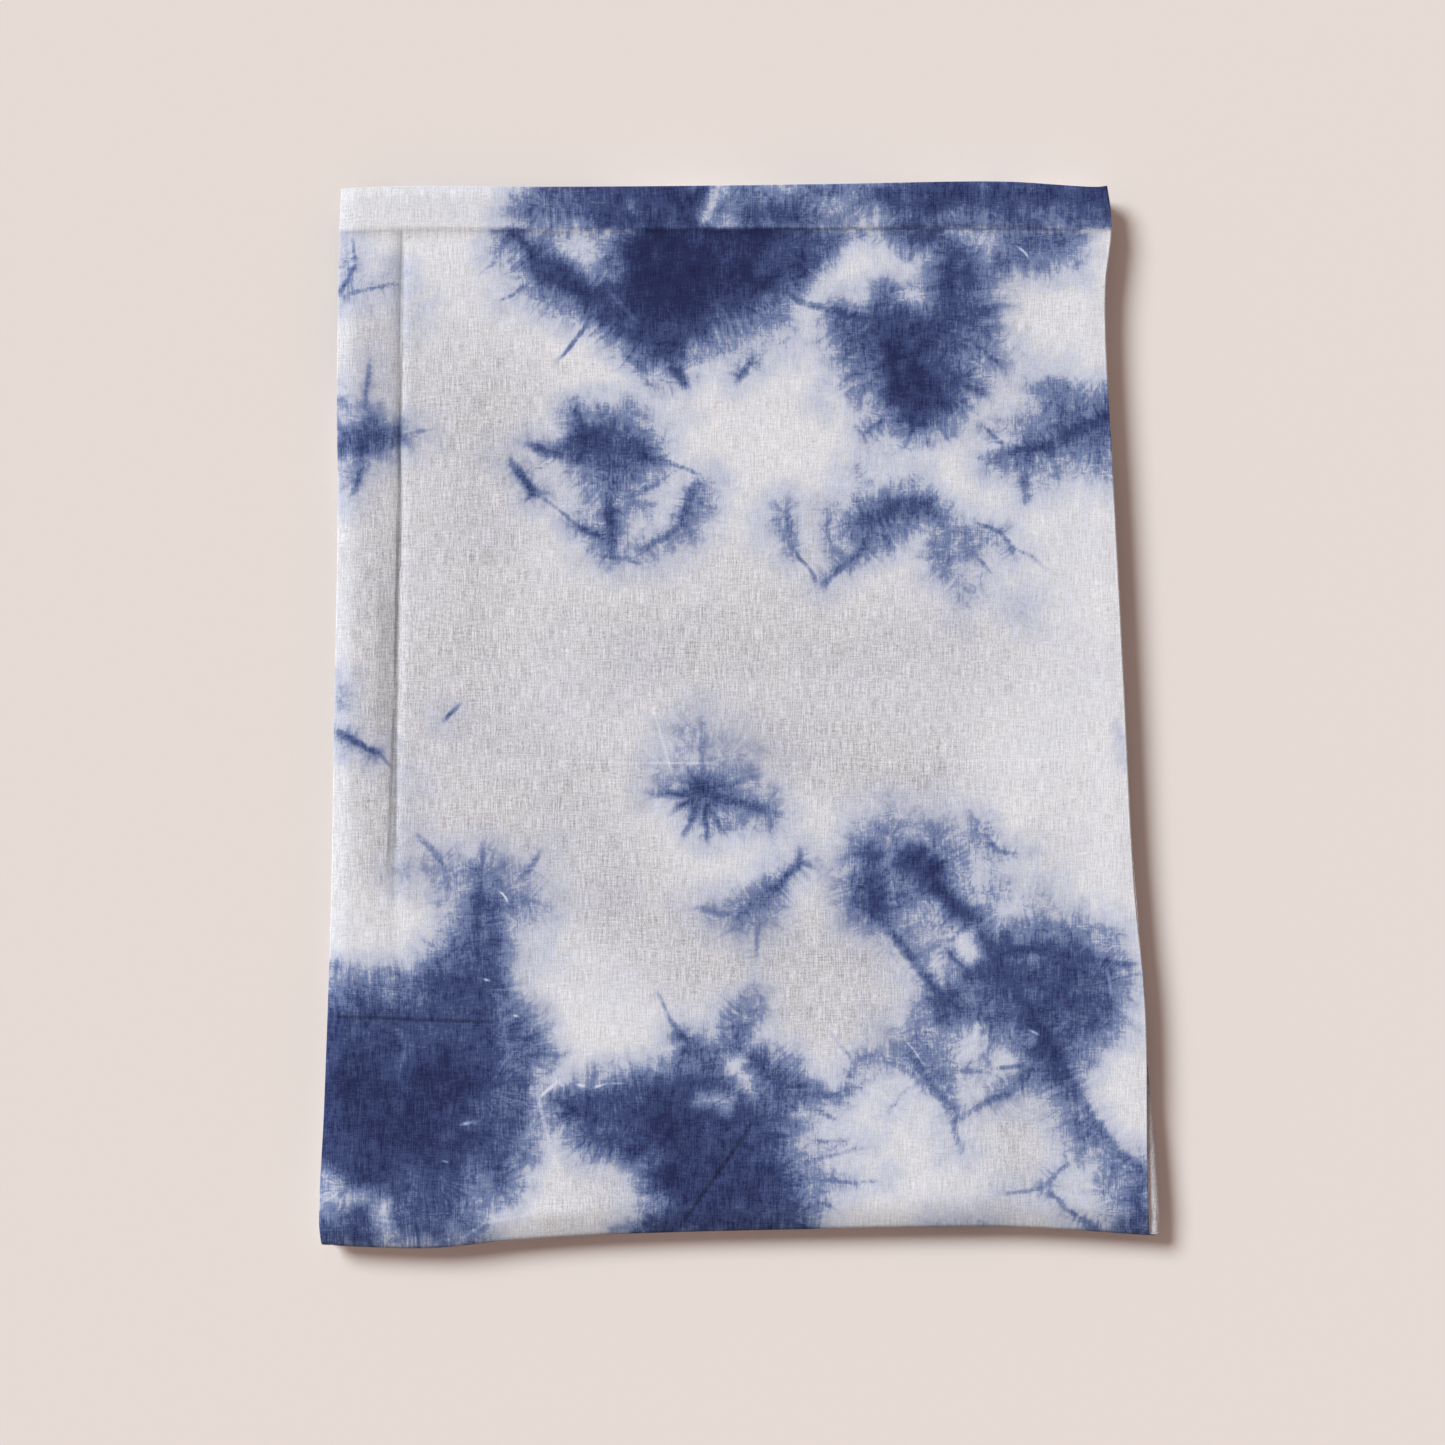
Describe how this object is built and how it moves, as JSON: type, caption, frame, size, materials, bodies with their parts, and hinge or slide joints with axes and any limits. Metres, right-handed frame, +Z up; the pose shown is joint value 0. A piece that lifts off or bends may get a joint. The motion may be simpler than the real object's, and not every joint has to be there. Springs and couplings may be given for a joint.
{
  "type": "folded length of tie-dyed cotton fabric",
  "caption": "Length of thin indigo and white tie-dyed cotton, folded back and forth into a flat rectangular pack with soft round folds.",
  "frame": {"origin": "centre of the pack's rectangle, on the surface that it lies on", "axes": "+X to the pack's right, +Y to its back edge (the top edge in a view from above), +Z up through the layers"},
  "size_m": [0.2944, 0.374, 0.0113],
  "materials": {
    "dyed_cotton": "matt thin voile, white with indigo tie-dye blots"
  },
  "bodies": {
    "root": {"folded_cloth": "dyed_cotton"}
  },
  "joints": []
}
